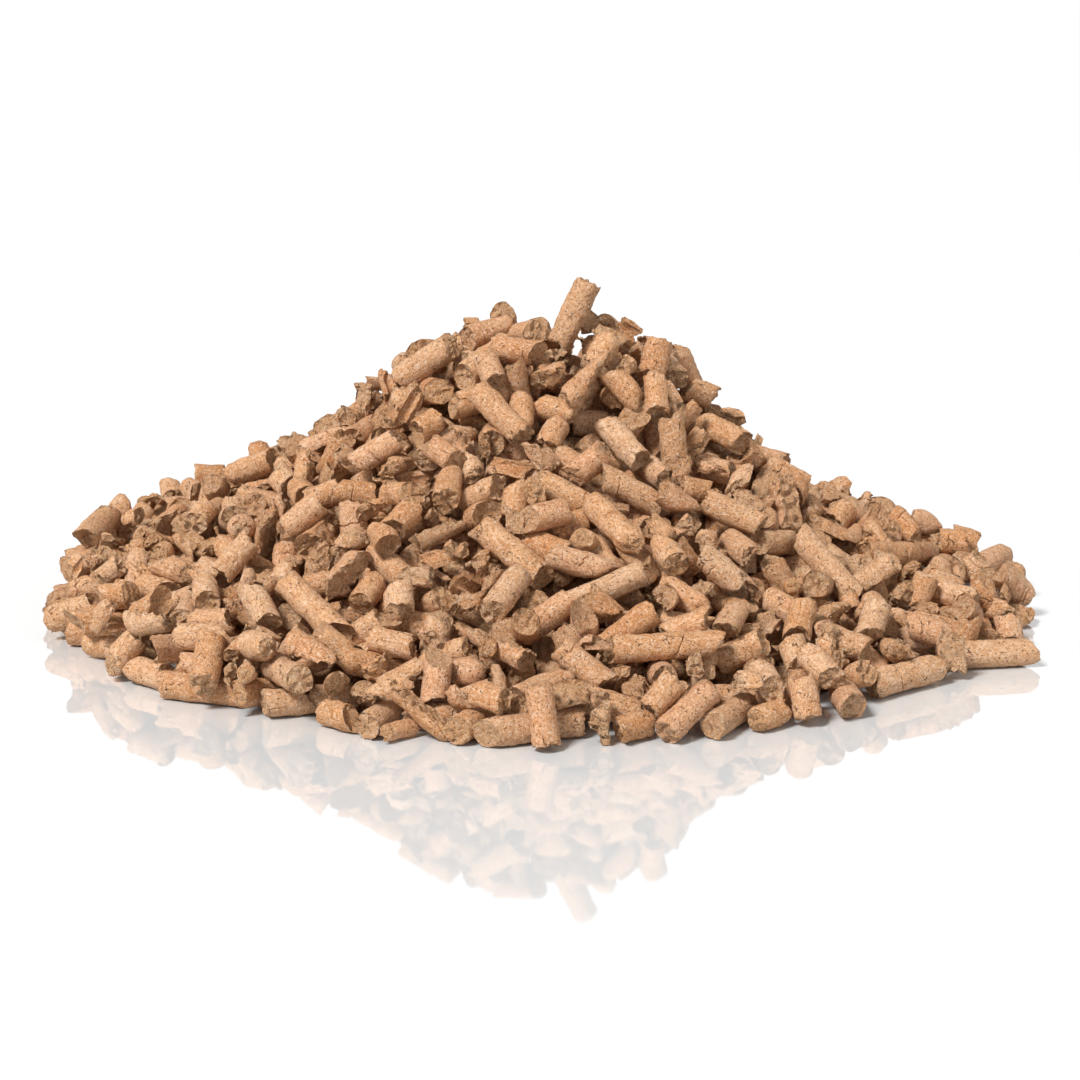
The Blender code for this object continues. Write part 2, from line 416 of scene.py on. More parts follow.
def roughen(pellet, points, broken, rough):
    """Lumps over the whole pellet, and crumbly ends."""
    outward = points * (0.0, 1.0, 1.0)
    outward /= np.maximum(np.linalg.norm(outward, axis=-1, keepdims=True), 1.0)
    size = pellet.lumps * ripple(points, rough, WALL_WAVELENGTH)
    size += WALL_RIPPLE[0] * ripple(points, rough, WALL_RIPPLE[1])
    size += rough.normal(0.0, WALL_GRIT, size.shape)
    points = points + outward * size[..., None]
    crumbs = END_RIPPLE[0] * ripple(points, rough, END_RIPPLE[1])
    crumbs += rough.normal(0.0, END_GRIT, size.shape)
    points[..., 0] += crumbs * np.where(broken == 1.0, 1.0, EDGE_CRUMBLE * broken)
    return points


def cut_sides(pellet, points, broken, rough):
    """Presses what lies past each broken plane back onto it, with a rough face."""
    for normal, distance in pellet.cuts:
        face = CUT_RIPPLE[0] * ripple(points, rough, CUT_RIPPLE[1])
        face += rough.normal(0.0, CUT_GRIT, broken.shape)
        past = np.clip(points @ normal - distance - face, 0.0, None)
        points = points - past[..., None] * normal
        broken = np.maximum(broken, np.clip(past / CUT_FULLY_BROKEN, 0.0, 1.0))
    return points, broken


# How pellets become one mesh.


def pellet_faces(rows, sides):
    """The quads between rows, and the fans at both ends, by point number."""
    ring = np.arange(sides)
    after = (ring + 1) % sides
    row = np.arange(rows - 3)[:, None] * sides
    quads = np.stack([row + ring, row + sides + ring, row + sides + after, row + after], axis=-1)
    first = (rows - 2) * sides
    base = (rows - 3) * sides
    start = np.stack([np.full(sides, first), ring, after], axis=-1)
    stop = np.stack([np.full(sides, first + 1), base + after, base + ring], axis=-1)
    return quads.reshape(-1, 4), np.concatenate([start, stop])


def bake_corners(profile, sides, scale):
    """Flat coordinates of the same faces: the profile unrolled round the pellet."""
    ring = np.arange(sides)
    quads = []
    for low, high in zip(profile[1:-2], profile[2:-1]):
        corners = ((low, ring), (high, ring), (high, ring + 1), (low, ring + 1))
        quads.append(flat_faces(corners, sides))
    first = profile[1]
    last = profile[-2]
    starts = ((profile[0], ring + 0.5), (first, ring), (first, ring + 1))
    stops = ((profile[-1], ring + 0.5), (last, ring + 1), (last, ring))
    fans = [flat_faces(corners, sides) for corners in (starts, stops)]
    return np.concatenate(quads) * scale, np.concatenate(fans) * scale


def flat_faces(corners, sides):
    """A ring of flat faces from their corners: (distance along the profile, steps round)."""
    round_way = TAU * RADII[0] / sides
    points = [np.stack([np.full(sides, u), v * round_way], axis=-1) for u, v in corners]
    return np.stack(points, axis=1)


def pack_shelves(sizes):
    """Where to put rectangles in the smallest square that holds them, and its side."""
    order = sorted(range(len(sizes)), key=lambda i: -sizes[i][1])
    side = math.sqrt(sum((w + BAKE_GAP) * (h + BAKE_GAP) for w, h in sizes))
    while True:
        spots = {}
        x = y = shelf = 0.0
        for i in order:
            width, height = sizes[i]
            if x + width + BAKE_GAP > side:
                x = 0.0
                y += shelf
                shelf = 0.0
            spots[i] = (x + 0.5 * BAKE_GAP, y + 0.5 * BAKE_GAP)
            x += width + BAKE_GAP
            shelf = max(shelf, height + BAKE_GAP)
        if y + shelf <= side:
            return spots, side
        side *= 1.01


def linked_object(name, data):
    """A new object of that mesh, camera or light, in the scene."""
    made = bpy.data.objects.new(name, data)
    bpy.context.scene.collection.objects.link(made)
    return made


def store_vectors(mesh, name, values):
    """Keeps one vector for each vertex on the mesh, for its material to read."""
    attribute = mesh.attributes.new(name, "FLOAT_VECTOR", "POINT")
    attribute.data.foreach_set("vector", np.asarray(values, dtype=float).reshape(-1))


def placed_points(pellet, local):
    """The pellet's points where it lies, in metres, none of them under the floor."""
    turn = np.array(pellet.place.to_3x3())
    placed = local @ turn.T * MM + np.array(pellet.place.translation)
    lowest = placed[:, 2].min()
    if lowest < 0.0 or pellet.on_floor:
        placed[:, 2] -= lowest
    return placed


def pellets_object(name, pellets, material):
    """One object of many pellets, with what its material reads stored on it."""
    points, grain, finish = [], [], []
    quads, fans = [], []
    flat_quads, flat_fans, sizes = [], [], []
    count = 0
    for pellet in pellets:
        rows, broken, profile = pellet_rows(pellet)
        sides = rows.shape[1]
        local = np.concatenate([rows[1:-1].reshape(-1, 3), rows[:1, 0], rows[-1:, 0]])
        worn = np.concatenate([broken[1:-1].reshape(-1), [1.0, 1.0]])
        points.append(placed_points(pellet, local))
        some_quads, some_fans = pellet_faces(len(rows), sides)
        quads.append(some_quads + count)
        fans.append(some_fans + count)
        count += len(local)
        shift = np.array([pellet.seed % most for most in GRAIN_SHIFTS]) * GRAIN_STEP
        grain.append(local + shift)
        tone = np.full_like(worn, pellet.tone)
        hue = np.full_like(worn, pellet.hue)
        finish.append(np.stack([tone, hue, worn], axis=-1))
        scale = HIDDEN_BAKE_SCALE if pellet.detail is HIDDEN else 1.0
        some_quads, some_fans = bake_corners(profile, sides, scale)
        flat_quads.append(some_quads)
        flat_fans.append(some_fans)
        sizes.append((profile[-1] * scale, TAU * RADII[0] * scale))
    spots, side = pack_shelves(sizes)
    for flat in (flat_quads, flat_fans):
        for number, spot in spots.items():
            flat[number] = (flat[number] + spot) / side
    mesh = bpy.data.meshes.new(name)
    faces = np.concatenate(quads).tolist() + np.concatenate(fans).tolist()
    mesh.from_pydata(np.concatenate(points).tolist(), [], faces)
    corners = [np.concatenate(flat).reshape(-1) for flat in (flat_quads, flat_fans)]
    mesh.uv_layers.new(name="OFBake").data.foreach_set("uv", np.concatenate(corners))
    store_vectors(mesh, "grain", np.concatenate(grain))
    store_vectors(mesh, "finish", np.concatenate(finish))
    mesh.shade_smooth()
    mesh.set_sharp_from_angle(angle=SHARP_ANGLE)
    mesh.materials.append(material)
    return linked_object(name, mesh)


# Where the pellets lie.


def tree_of(meshes):
    """A search tree over (mesh, matrix) pairs, and which pair each of its faces is from."""
    points, faces, owners = [], [], []
    for number, (mesh, matrix) in enumerate(meshes):
        base = len(points)
        points.extend(matrix @ vertex.co for vertex in mesh.vertices)
        for face in mesh.polygons:
            faces.append([base + i for i in face.vertices])
            owners.append(number)
    return BVHTree.FromPolygons(points, faces), owners


def top_of(tree, x, y):
    """The height of whatever is highest at that place, or the floor's."""
    spot = tree.ray_cast(Vector((x, y, ABOVE_ALL)), Vector((0.0, 0.0, -1.0)))[0]
    return spot.z if spot else 0.0


def wanted_height(tree, x, y):
    """How high the heap should be: the CAD's own surface, smoothed, and one layer round it."""
    step = SMOOTHING
    spots = [(x + i * step, y + j * step) for i in (-1, 0, 1) for j in (-1, 0, 1)]
    height = sum(top_of(tree, *spot) for spot in spots) / len(spots)
    height = min(height, TOP_HEIGHT)
    height -= SINK * min(max((height - SINK_FROM) / SINK_FROM, 0.0), 1.0)
    reach = math.hypot(x, y)
    layer = RIM_HEIGHT + RIM_LEFT_EXTRA * max(0.0, -x) / RIM_OUTER
    layer *= min(max((RIM_OUTER - reach) / (RIM_OUTER - RIM_INNER), 0.0), 1.0)
    return max(height, layer)


def core_mesh(target):
    """A lumpy mound a few pellets deep inside the heap, which the pellets lie on."""
    points = [(0.0, 0.0, wanted_height(target, 0.0, 0.0) - CORE_DEPTH)]
    faces = []
    for ring in range(1, CORE_RINGS + 1):
        for turn in range(CORE_TURNS):
            reach = CORE_RADIUS * ring / CORE_RINGS
            x = reach * math.cos(TAU * turn / CORE_TURNS)
            y = reach * math.sin(TAU * turn / CORE_TURNS)
            z = wanted_height(target, x, y) - CORE_DEPTH + core_lump(x, y)
            points.append((x, y, CORE_LIFT if ring == CORE_RINGS else max(z, CORE_LIFT)))
            here = 1 + (ring - 1) * CORE_TURNS + turn
            after = 1 + (ring - 1) * CORE_TURNS + (turn + 1) % CORE_TURNS
            if ring == 1:
                faces.append((0, here, after))
            else:
                faces.append((here - CORE_TURNS, here, after, after - CORE_TURNS))
    mesh = bpy.data.meshes.new("heap_core")
    mesh.from_pydata(points, [], faces)
    store_vectors(mesh, "grain", np.array(points) / MM)
    store_vectors(mesh, "finish", [CORE_FINISH] * len(points))
    mesh.shade_smooth()
    return mesh


def core_lump(x, y):
    """Waves a little longer than a pellet is wide, over the mound."""
    across, bent, along = CORE_WAVES
    return CORE_LUMP * (math.sin(across * x + 2.0 * math.sin(bent * y)) + math.sin(along * y))


def pour_proxy(pellet):
    """The plain prism that stands for a pellet in the pour."""
    shape = bmesh.new()
    radius = pellet.radius * POUR_OVERSIZE * MM * POUR_SCALE
    bmesh.ops.create_cone(
        shape, cap_ends=True, segments=POUR_SIDES, radius1=radius, radius2=radius,
        depth=pellet.length * MM * POUR_SCALE, matrix=Matrix.Rotation(math.pi / 2, 4, "Y"),
    )
    mesh = bpy.data.meshes.new("pour_proxy")
    shape.to_mesh(mesh)
    shape.free()
    return mesh


def pour_ground():
    """A thick slab for the floor."""
    mesh = bpy.data.meshes.new("pour_ground")
    shape = bmesh.new()
    bmesh.ops.create_cube(shape, size=2, matrix=Matrix.Diagonal((GROUND_SIZE, GROUND_SIZE, 1, 1)))
    shape.to_mesh(mesh)
    shape.free()
    return mesh


class Pour:
    """Rigid bodies dropped in layers. Each layer is held still once it has settled."""

    def __init__(self):
        scene = bpy.context.scene
        bpy.ops.rigidbody.world_add()
        self.world = scene.rigidbody_world
        self.world.collection = bpy.data.collections.new("pour")
        self.world.substeps_per_frame = SUBSTEPS
        self.world.solver_iterations = SOLVER_STEPS
        self.world.point_cache.frame_start = 1
        self.world.point_cache.frame_end = LAST_FRAME
        scene.frame_start = 1
        scene.frame_end = LAST_FRAME
        self.objects = []

    def add(self, mesh, matrix, moving, shape="CONVEX_HULL"):
        """One more rigid body, which falls or stays still."""
        made = linked_object("pour_piece", mesh)
        made.matrix_world = matrix
        self.world.collection.objects.link(made)
        body = made.rigid_body
        body.type = "ACTIVE" if moving else "PASSIVE"
        body.collision_shape = shape
        body.friction = FRICTION
        body.restitution = 0.0
        body.linear_damping = LINEAR_DAMPING
        body.angular_damping = ANGULAR_DAMPING
        body.use_margin = True
        body.collision_margin = 0.0
        self.objects.append(made)
        return made

    def settle(self, moving):
        """Runs the drop of one layer, then holds its pieces where they came to rest."""
        scene = bpy.context.scene
        for number in range(1, SETTLE_FRAMES + 1):
            scene.frame_set(number)
        graph = bpy.context.evaluated_depsgraph_get()
        rest = [piece.evaluated_get(graph).matrix_world.copy() for piece in moving]
        for piece, matrix in zip(moving, rest):
            piece.matrix_world = matrix
            piece.rigid_body.type = "PASSIVE"
        scene.frame_set(1)

    def remove(self, made):
        """Takes one piece out of the pour."""
        self.objects.remove(made)
        bpy.data.objects.remove(made)

    def close(self):
        """Leaves nothing of the pour in the file."""
        collection = self.world.collection
        for made in self.objects:
            bpy.data.objects.remove(made)
        bpy.ops.rigidbody.world_remove()
        bpy.data.collections.remove(collection)
        for mesh in [mesh for mesh in bpy.data.meshes if mesh.name.startswith("pour_")]:
            bpy.data.meshes.remove(mesh)


def pour_heap(rng, fixed, target, core):
    """Pellets poured over the core and round the fixed ones until they fill the CAD heap's space."""
    pour = Pour()
    pour.add(pour_ground(), Matrix.Translation((0, 0, -1)), False, "BOX")
    mound = core.copy()
    mound.name = "pour_mound"
    mound.transform(Matrix.Scale(POUR_SCALE, 4))
    lying = [pour.add(mound, Matrix.Identity(4), False, "MESH")]
    for pellet in fixed:
        lying.append(pour.add(pour_proxy(pellet), grown(pellet.place), False))
    poured = []
    for _ in range(LAYERS):
        tree, _ = tree_of([(piece.data, piece.matrix_world) for piece in lying])
        drops = []
        for spot, depth in drop_sites(rng, tree, target):
            pellet = Pellet(rng)
            drops.append((pellet, drop_matrix(rng, tree, pellet, spot)))
        if len(drops) < ENOUGH_SITES:
            break
        moving = [pour.add(pour_proxy(pellet), matrix, True) for pellet, matrix in drops]
        pour.settle(moving)
        for (pellet, _), piece in zip(drops, moving):
            pellet.place = shrunk(piece.matrix_world)
            if sticks_out(pellet, target):
                pour.remove(piece)
                continue
            poured.append(pellet)
            lying.append(piece)
    pour.close()
    return poured


def grown(place):
    """A pellet's place in the pour's own size."""
    matrix = place.copy()
    matrix.translation *= POUR_SCALE
    return matrix


def shrunk(matrix):
    """A pellet's real place from its place in the pour."""
    place = matrix.to_quaternion().to_matrix().to_4x4()
    place.translation = matrix.translation / POUR_SCALE
    return place


def ends_of(pellet):
    """Where both ends of a pellet's axis are, in metres."""
    half = Vector((0.5 * pellet.length * MM, 0.0, 0.0))
    return pellet.place @ half, pellet.place @ -half


def sticks_out(pellet, target):
    """Whether a pellet rolled off, or stands out of the heap's outline."""
    for end in ends_of(pellet):
        proud = end.z - wanted_height(target, end.x, end.y)
        if math.hypot(end.x, end.y) > KEEP_RADIUS or proud > MOST_PROUD or end.z < -MM:
            return True
    return False


def drop_sites(rng, tree, target):
    """Where the heap is still too low, with how much is missing, the deepest first."""
    sites = []
    reach = math.ceil(RIM_OUTER / SITE_PITCH)
    for i in range(-reach, reach + 1):
        for j in range(-reach, reach + 1):
            x = i * SITE_PITCH + rng.uniform(-SITE_JITTER, SITE_JITTER)
            y = j * SITE_PITCH + rng.uniform(-SITE_JITTER, SITE_JITTER)
            want = wanted_height(target, x, y)
            if want < LEAST_DEPTH:
                continue
            step = SMOOTHING
            spots = ((x, y), (x + step, y), (x - step, y), (x, y + step), (x, y - step))
            tops = [top_of(tree, POUR_SCALE * a, POUR_SCALE * b) / POUR_SCALE for a, b in spots]
            depth = want - sum(tops) / len(tops)
            if depth > LEAST_DEPTH:
                sites.append(((x, y), depth))
    rng.shuffle(sites)
    sites.sort(key=lambda site: -min(site[1], FULL_DEPTH))
    chosen = []
    for (x, y), depth in sites:
        if all(math.hypot(x - a, y - b) > SITE_GAP for (a, b), _ in chosen):
            chosen.append(((x, y), depth))
    return chosen


def drop_matrix(rng, tree, pellet, spot):
    """Just above the heap at that spot, nearly level, turned any way."""
    x, y = (POUR_SCALE * value for value in spot)
    tilt = rng.gauss(0.0, DROP_TILT)
    near = [(x + i * FEEL_STEP, y + j * FEEL_STEP) for i in (-1, 0, 1) for j in (-1, 0, 1)]
    top = max(top_of(tree, *place) for place in near)
    half = 0.5 * pellet.length * MM * POUR_SCALE
    z = top + DROP_GAP + abs(math.sin(tilt)) * half + rng.uniform(0.0, DROP_GAP_SPREAD)
    matrix = Euler((0.0, tilt, rng.uniform(0.0, TAU))).to_matrix().to_4x4()
    matrix.translation = (x, y, z)
    return matrix


def rim_pellet(rng, node):
    """A detailed pellet in the place of a CAD rim pellet."""
    mesh = frame["nodes"][node].data
    points = np.array([vertex.co for vertex in mesh.vertices])
    low, high = points.min(axis=0), points.max(axis=0)
    middle = 0.5 * (low + high)
    spread = (points - middle)[:, :2]
    _, directions = np.linalg.eigh(spread.T @ spread)
    along = spread @ directions[:, 1]
    pellet = Pellet(rng, length=float(along.max() - along.min()) / MM - 1.0, kind="whole")
    turn = math.atan2(directions[1, 1], directions[0, 1])
    centre = Matrix.Translation((*middle[:2], pellet.radius * MM))
    roll = Matrix.Rotation(rng.uniform(0.0, TAU), 4, "X")
    pellet.place = centre @ Matrix.Rotation(turn, 4, "Z") @ roll
    pellet.bend = 0.0
    pellet.on_floor = True
    return pellet


def placed_pellet(rng, spot, axis, length):
    """A whole pellet with its middle at a spot, pointing along an axis."""
    pellet = Pellet(rng, length=length, kind="whole")
    pellet.place = Vector((1.0, 0.0, 0.0)).rotation_difference(axis).to_matrix().to_4x4()
    pellet.place.translation = spot
    return pellet


def peak_pellet(rng):
    """The pellet that stands out of the top, with a steep slanted end."""
    pellet = placed_pellet(rng, PEAK_SPOT, PEAK_AXIS, PEAK_LENGTH)
    pellet.cracks = []
    top = pellet.ends[1]
    top.slant = PEAK_SLANT
    top.turn = math.pi
    top.dish = 0.0
    top.rounding = 0.0
    return pellet


def standing_pellet(rng):
    """The upright pellet that leans on the front of the heap, with flat, ragged ends."""
    pellet = placed_pellet(rng, STANDING_SPOT, STANDING_AXIS, STANDING_LENGTH)
    pellet.cracks = []
    for end in pellet.ends:
        end.slant = STANDING_SLANT
        end.facets = []
        end.rounding = 0.0
    return pellet


def clear_of(pellet, other):
    """Whether two pellets' axes keep a pellet's width apart."""
    own, others = (axis_points(each) for each in (pellet, other))
    return min((p - q).length for p in own for q in others) > CLEAR_OF_PEAK


def axis_points(pellet):
    """Points at even steps along a pellet's axis."""
    first, last = ends_of(pellet)
    return [first.lerp(last, step / CLEAR_STEPS) for step in range(CLEAR_STEPS + 1)]


# What can be seen of the heap.


def rate_views(pellets):
    """Sets how finely each pellet is meshed, from how well it can be seen."""
    proxies = [(pour_proxy(pellet), grown(pellet.place)) for pellet in pellets]
    tree, owners = tree_of(proxies)
    for mesh, _ in proxies:
        bpy.data.meshes.remove(mesh)
    near = Counter(rays_hit(tree, owners, 0.0, VIEW_ELEVATION))
    seen = Counter()
    for elevation, turns in SEEN_FROM:
        for k in range(turns):
            seen.update(rays_hit(tree, owners, TAU * (k + 0.5) / turns, math.radians(elevation)))
    for number, pellet in enumerate(pellets):
        if near[number] >= NEAR_HITS:
            pellet.detail = NEAR
        elif near[number] or seen[number] >= SEEN_HITS:
            pellet.detail = SEEN


def rays_hit(tree, owners, azimuth, elevation):
    """The pellets that parallel rays from one direction hit, one for each ray."""
    away = Vector((-math.sin(azimuth), -math.cos(azimuth), math.tan(elevation)))
    if elevation > STEEPEST:
        away = Vector(NEARLY_UP)
    away.normalize()
    side = away.cross(Vector((0.0, 0.0, 1.0))).normalized()
    up = side.cross(away)
    step = RAY_PITCH * POUR_SCALE
    reach = round(RIM_OUTER / RAY_PITCH * RAY_MARGIN)
    centre = Vector((0.0, 0.0, RAY_CENTRE * POUR_SCALE)) + away * RAY_START
    hit = []
    for i in range(-reach, reach + 1):
        for j in range(-reach, reach + 1):
            start = centre + side * (i * step) + up * (j * step)
            face = tree.ray_cast(start, -away)[2]
            if face is not None:
                hit.append(owners[face])
    return hit


# The material, on coordinates in millimetres that run along each pellet.


class Shader:
    """Adds nodes to a material and links them."""

    def __init__(self, name):
        self.material = bpy.data.materials.new(name)
        self.material.use_nodes = True
        self.tree = self.material.node_tree
        self.principled = self.tree.nodes["Principled BSDF"]

    def node(self, kind, inputs=(), **settings):
        """A new node, with sockets linked or set, and its own settings."""
        made = self.tree.nodes.new(kind)
        for key, value in settings.items():
            setattr(made, key, value)
        for key, value in dict(inputs).items():
            if isinstance(value, bpy.types.NodeSocket):
                self.tree.links.new(value, made.inputs[key])
            else:
                made.inputs[key].default_value = value
        return made

    def math(self, operation, a, b=0.0):
        return self.node("ShaderNodeMath", {0: a, 1: b}, operation=operation).outputs[0]

    def noise(self, vector, scale, detail=2.0, roughness=0.5, distortion=0.0):
        inputs = {
            "Vector": vector, "Scale": scale, "Detail": detail,
            "Roughness": roughness, "Distortion": distortion,
        }
        return self.node("ShaderNodeTexNoise", inputs).outputs["Fac"]

    def vector_math(self, operation, a, b):
        return self.node("ShaderNodeVectorMath", {0: a, 1: b}, operation=operation).outputs[0]

    def remap(self, value, low, high, new_low=0.0, new_high=1.0):
        """A smooth step from one range to another."""
        inputs = {
            "Value": value, "From Min": low, "From Max": high, "To Min": new_low, "To Max": new_high,
        }
        made = self.node("ShaderNodeMapRange", inputs, interpolation_type="SMOOTHSTEP")
        return made.outputs["Result"]

    def mix(self, factor, a, b, blend="MIX"):
        inputs = {0: factor, 6: a, 7: b}
        return self.node("ShaderNodeMix", inputs, data_type="RGBA", blend_type=blend).outputs[2]

    def layers(self, colour, layers):
        """Colours laid over one another: (value, where it starts, where it's full, most, colour)."""
        for value, start, full, most, over in layers:
            colour = self.mix(self.remap(value, start, full, 0.0, most), colour, over)
        return colour

    def ramp(self, value, stops):
        """A colour ramp through stops: (position, colour)."""
        made = self.node("ShaderNodeValToRGB", {"Fac": value})
        colours = made.color_ramp.elements
        while len(colours) < len(stops):
            colours.new(0.5)
        for element, (position, colour) in zip(colours, stops):
            element.position = position
            element.color = (*colour, 1.0)
        return made.outputs["Color"]


WOOD_TONES = (
    (0.0, (0.56, 0.25, 0.095)),
    (0.35, (0.63, 0.31, 0.135)),
    (0.7, (0.69, 0.375, 0.185)),
    (1.0, (0.75, 0.45, 0.26)),
)
PINK_WOOD = (0.69, 0.37, 0.22, 1.0)
GREY_WOOD = (0.64, 0.41, 0.25, 1.0)
FRESH_WOOD = (0.78, 0.48, 0.25, 1.0)
# The next two colours are painted shade for the low crumbs and a painted highlight for the raised ones.
# They are also the dark and light mottle of the fine grain.
PIT_SHADE_AND_DARK_GRAIN = (0.34, 0.11, 0.025, 1.0)
CRUMB_HIGHLIGHT_AND_LIGHT_GRAIN = (0.90, 0.74, 0.59, 1.0)
DARK_SPECK = (0.14, 0.055, 0.022, 1.0)
LIGHT_FLECK = (0.86, 0.66, 0.47, 1.0)
# Painted shade that darkens the hairline cracks.
CRACK_SHADE = (0.09, 0.035, 0.015, 1.0)
FRESH_SHARE = 0.35
# How strongly the painted crack shade is laid on.
CRACK_SHADE_SHARE = 0.75
BUMP_DISTANCE = 0.0014
WOOD_ROUGHNESS = (0.95, 0.74)
WOOD_SPECULAR = 0.2

FLOOR_TONES = ((0.73, 0.745, 0.745, 1.0), (0.75, 0.76, 0.76, 1.0))
FLOOR_ROUGHNESS = (0.03, 0.05)
FLOOR_IOR = 1.5
FLOOR_COAT = 1.0
FLOOR_COAT_ROUGHNESS = 0.03


def wood_material():
    """Pressed sawdust: fibres along the pellet, dark specks, light flecks, pits and cracks, with painted
    shade in the low crumbs and the cracks and a painted highlight on the raised crumbs.
    """
    s = Shader("pressed_wood")
    grain = s.node("ShaderNodeAttribute", attribute_name="grain").outputs["Vector"]
    finish = s.node("ShaderNodeAttribute", attribute_name="finish").outputs["Vector"]
    parts = s.node("ShaderNodeSeparateXYZ", {0: finish}).outputs
    tone, hue, broken = parts[0], parts[1], parts[2]

    fibres = s.noise(s.vector_math("MULTIPLY", grain, (0.35, 1.7, 1.7)), 1.0, 4.0, 0.65, 0.6)
    crumbs = s.noise(grain, 1.5, 5.0, 0.72)
    fine = s.noise(grain, 3.6, 2.0, 0.6)
    flecks = s.noise(s.vector_math("MULTIPLY", grain, (0.55, 1.2, 1.2)), 1.3, 3.0, 0.6)
    spots = s.noise(s.vector_math("MULTIPLY", grain, (0.8, 1.2, 1.2)), 2.6, 1.0, 0.5)
    specks = s.remap(spots, 0.37, 0.29, 0.0, 0.85)
    cracks = crack_lines(s, grain)

    colour = pellet_colour(s, grain, tone, hue)
    streaks = s.remap(fibres, 0.3, 0.7, 0.88, 1.08)
    colour = s.mix(1.0, colour, grey(s, streaks), "MULTIPLY")
    colour = s.mix(s.math("MULTIPLY", broken, FRESH_SHARE), colour, FRESH_WOOD)
    # The crumbs layers are painted shade where the bump runs low and a painted highlight where it runs
    # high. The fine layers are the wood's fine grain mottle, in the same two colours.
    colour = s.layers(colour, (
        (crumbs, 0.52, 0.30, 0.50, PIT_SHADE_AND_DARK_GRAIN),
        (crumbs, 0.50, 0.70, 0.60, CRUMB_HIGHLIGHT_AND_LIGHT_GRAIN),
        (fine, 0.43, 0.28, 0.45, PIT_SHADE_AND_DARK_GRAIN),
        (fine, 0.52, 0.70, 0.50, CRUMB_HIGHLIGHT_AND_LIGHT_GRAIN),
        (flecks, 0.60, 0.74, 0.45, LIGHT_FLECK),
    ))
    colour = s.mix(specks, colour, DARK_SPECK)
    # Painted shade in the crack lines, which the bump also sinks as grooves.
    colour = s.mix(s.math("MULTIPLY", cracks, CRACK_SHADE_SHARE), colour, CRACK_SHADE)
    s.tree.links.new(colour, s.principled.inputs["Base Color"])

    height = s.math("MULTIPLY", crumbs, s.math("ADD", s.math("MULTIPLY", broken, 0.5), 0.32))
    for value, share in ((fibres, 0.13), (fine, 0.26), (specks, -0.10), (cracks, -0.45)):
        height = s.math("ADD", height, s.math("MULTIPLY", value, share))
    bump = s.node("ShaderNodeBump", {"Height": height, "Distance": BUMP_DISTANCE, "Strength": 1.0})
    s.tree.links.new(bump.outputs["Normal"], s.principled.inputs["Normal"])
    s.tree.links.new(s.remap(crumbs, 0.3, 0.7, *WOOD_ROUGHNESS), s.principled.inputs["Roughness"])
    s.principled.inputs["Specular IOR Level"].default_value = WOOD_SPECULAR
    return s.material


def pellet_colour(s, grain, tone, hue):
    """The wood's own colour: from pellet to pellet, and in soft patches on each one."""
    patches = s.noise(grain, 0.32, 3.0, 0.6)
    tint = s.math("ADD", s.math("MULTIPLY", tone, 0.75), s.remap(patches, 0.3, 0.7, -0.12, 0.36))
    return s.layers(s.ramp(tint, WOOD_TONES), (
        (hue, 0.60, 1.0, 0.4, PINK_WOOD),
        (hue, 0.35, 0.0, 0.4, GREY_WOOD),
    ))


def crack_lines(s, grain):
    """Thin crack lines in a ragged web, in some places only: grooves for the bump, and where painted
    shade darkens the colour.
    """
    places = s.vector_math("ADD", s.vector_math("MULTIPLY", grain, (0.55, 1.0, 1.0)), wobble(s, grain))
    inputs = {"Vector": places, "Scale": 0.42}
    web = s.node("ShaderNodeTexVoronoi", inputs, feature="DISTANCE_TO_EDGE").outputs["Distance"]
    mask = s.remap(s.noise(grain, 0.4, 2.0), 0.58, 0.70)
    return s.math("MULTIPLY", s.remap(web, 0.032, 0.006), mask)


def wobble(s, vector):
    """A small shift that makes straight lines ragged."""
    shift = s.node("ShaderNodeTexNoise", {"Vector": vector, "Scale": 1.4, "Detail": 3.0}).outputs["Color"]
    return s.vector_math("MULTIPLY", s.vector_math("SUBTRACT", shift, (0.5, 0.5, 0.5)), (0.9, 0.9, 0.9))


def grey(s, value):
    """A colour of that brightness."""
    return s.node("ShaderNodeCombineColor", {0: value, 1: value, 2: value}).outputs[0]


def floor_material():
    """A pale, glossy sheet."""
    s = Shader("pale_floor")
    coordinates = s.node("ShaderNodeTexCoord").outputs["Object"]
    haze = s.noise(coordinates, 9.0, 2.0)
    s.tree.links.new(s.mix(haze, *FLOOR_TONES), s.principled.inputs["Base Color"])
    s.tree.links.new(s.remap(haze, 0.3, 0.7, *FLOOR_ROUGHNESS), s.principled.inputs["Roughness"])
    s.principled.inputs["IOR"].default_value = FLOOR_IOR
    s.principled.inputs["Coat Weight"].default_value = FLOOR_COAT
    s.principled.inputs["Coat Roughness"].default_value = FLOOR_COAT_ROUGHNESS
    return s.material


# The studio.


def look_at(made, spot, target):
    """Puts a camera or a light at a spot, pointing at the target."""
    made.location = spot
    made.rotation_euler = (Vector(target) - Vector(spot)).to_track_quat("-Z", "Y").to_euler()


def make_camera():
    """The camera at the photo's angle."""
    lens = bpy.data.cameras.new("camera")
    lens.angle = VIEW_ANGLE
    lens.clip_start = 0.01
    camera = linked_object("camera", lens)
    back = Vector((0.0, -math.cos(VIEW_ELEVATION), math.sin(VIEW_ELEVATION)))
    look_at(camera, VIEW_AIM + back * VIEW_DISTANCE, VIEW_AIM)
    bpy.context.scene.camera = camera


def add_light(name, spot, spread, strength):
    """A wide soft light from far off, in the direction of that spot."""
    data = bpy.data.lights.new(name, "SUN")
    data.angle = math.radians(spread)
    data.energy = strength
    light = linked_object(name, data)
    light.visible_glossy = False
    look_at(light, spot, LIGHT_TARGET)


